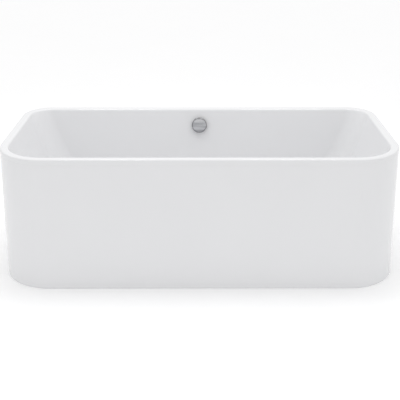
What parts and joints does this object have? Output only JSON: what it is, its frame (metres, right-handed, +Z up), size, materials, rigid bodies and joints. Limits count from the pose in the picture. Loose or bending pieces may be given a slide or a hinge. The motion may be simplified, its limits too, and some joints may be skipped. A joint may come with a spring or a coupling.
{
  "type": "freestanding bathtub",
  "caption": "Long rounded-rectangle tub in white acrylic with a one-piece skirt to the floor, sloping ends and a round overflow knob that lifts the waste plug.",
  "frame": {"origin": "middle of the footprint at floor level", "axes": "+X along the tub, +Y towards the overflow wall, +Z up"},
  "size_m": [1.8, 0.8, 0.61],
  "materials": {
    "acrylic_white": "high gloss, smooth",
    "glass_fibre_laminate": "rough sprayed fibre",
    "bonding_adhesive": "cured, slightly uneven",
    "chipboard": "raw pressed chips",
    "softwood": "planed",
    "frame_coating": "satin powder coat",
    "zinc_steel": "bright zinc",
    "pad_plastic": "fine texture",
    "seal_rubber": "soft matte",
    "pipe_plastic": "moulded polypropylene",
    "nut_plastic": "moulded polypropylene",
    "chrome_trim": "polished",
    "stainless_strainer": "fine brushed",
    "brass_stem": "turned",
    "cable_jacket": "smooth"
  },
  "bodies": {
    "tub": {"base_board": "chipboard", "basin_laminate": "glass_fibre_laminate", "basin_shell": "acrylic_white", "board_screws": "zinc_steel", "bracket_screws": "zinc_steel", "cable_sheath": "cable_jacket", "drain_elbow": "pipe_plastic", "drain_elbow_nut": "nut_plastic", "drain_flange": "chrome_trim", "foot_lock_nuts": "zinc_steel", "foot_weld_nuts": "zinc_steel", "frame_bolts": "zinc_steel", "frame_cross_left": "frame_coating", "frame_cross_middle": "frame_coating", "frame_cross_right": "frame_coating", "frame_rail_back": "frame_coating", "frame_rail_front": "frame_coating", "lever_pin": "zinc_steel", "outer_skirt": "acrylic_white", "overflow_body": "pipe_plastic", "overflow_gasket": "seal_rubber", "overflow_pipe": "pipe_plastic", "overflow_screws": "zinc_steel", "overflow_strainer": "stainless_strainer", "pipe_lower_nut": "nut_plastic", "pipe_upper_nut": "nut_plastic", "rim_bond_strip": "bonding_adhesive", "skirt_batten_back": "softwood", "skirt_batten_front": "softwood", "skirt_batten_left": "softwood", "skirt_batten_right": "softwood", "skirt_brackets": "frame_coating", "trap_body": "pipe_plastic", "trap_cap": "nut_plastic", "trap_cap_seal": "seal_rubber", "trap_inlet_nut": "nut_plastic", "waste_body": "pipe_plastic", "waste_gasket": "seal_rubber"},
    "foot_1": {"foot_stud_1": "zinc_steel", "foot_pad_1": "pad_plastic"},
    "foot_2": {"foot_stud_2": "zinc_steel", "foot_pad_2": "pad_plastic"},
    "foot_3": {"foot_stud_3": "zinc_steel", "foot_pad_3": "pad_plastic"},
    "foot_4": {"foot_stud_4": "zinc_steel", "foot_pad_4": "pad_plastic"},
    "foot_5": {"foot_stud_5": "zinc_steel", "foot_pad_5": "pad_plastic"},
    "foot_6": {"foot_stud_6": "zinc_steel", "foot_pad_6": "pad_plastic"},
    "knob": {"overflow_knob": "chrome_trim", "knob_grub_screw": "zinc_steel", "knob_spindle": "brass_stem", "cable_spool": "nut_plastic"},
    "plug": {"plug_cap": "chrome_trim", "plug_seal": "seal_rubber", "plug_stem": "brass_stem"},
    "lever": {"lift_lever": "nut_plastic"},
    "push_rod": {"cable_push_end": "zinc_steel"}
  },
  "joints": [
    {"name": "knob_turn", "type": "hinge", "parent": "tub", "child": "knob", "pos_m": [0, 0.34351, 0.528], "axis": [0, -0.9883, 0.1527], "range_deg": [0, 90]},
    {"name": "plug_lift", "type": "slide", "parent": "tub", "child": "plug", "axis": [0, 0, 1], "range_m": [0, 0.01]},
    {"name": "lever_swing", "type": "hinge", "parent": "tub", "child": "lever", "pos_m": [-0.019, 0, 0.1057], "axis": [0, -1, 0], "range_deg": [0, 28.95]},
    {"name": "cable_push", "type": "slide", "parent": "tub", "child": "push_rod", "axis": [1, 0, 0], "range_m": [0, 0.008]},
    {"name": "foot_adjust_1", "type": "slide", "parent": "tub", "child": "foot_1", "axis": [0, 0, 1], "range_m": [-0.015, 0.01]},
    {"name": "foot_adjust_2", "type": "slide", "parent": "tub", "child": "foot_2", "axis": [0, 0, 1], "range_m": [-0.015, 0.01]},
    {"name": "foot_adjust_3", "type": "slide", "parent": "tub", "child": "foot_3", "axis": [0, 0, 1], "range_m": [-0.015, 0.01]},
    {"name": "foot_adjust_4", "type": "slide", "parent": "tub", "child": "foot_4", "axis": [0, 0, 1], "range_m": [-0.015, 0.01]},
    {"name": "foot_adjust_5", "type": "slide", "parent": "tub", "child": "foot_5", "axis": [0, 0, 1], "range_m": [-0.015, 0.01]},
    {"name": "foot_adjust_6", "type": "slide", "parent": "tub", "child": "foot_6", "axis": [0, 0, 1], "range_m": [-0.015, 0.01]}
  ],
  "couplings": [
    {"joint": "plug_lift", "follows": "knob_turn", "m_per_rad": 0.0063662},
    {"joint": "lever_swing", "follows": "knob_turn", "ratio": 0.32172},
    {"joint": "cable_push", "follows": "knob_turn", "m_per_rad": 0.0050929}
  ]
}
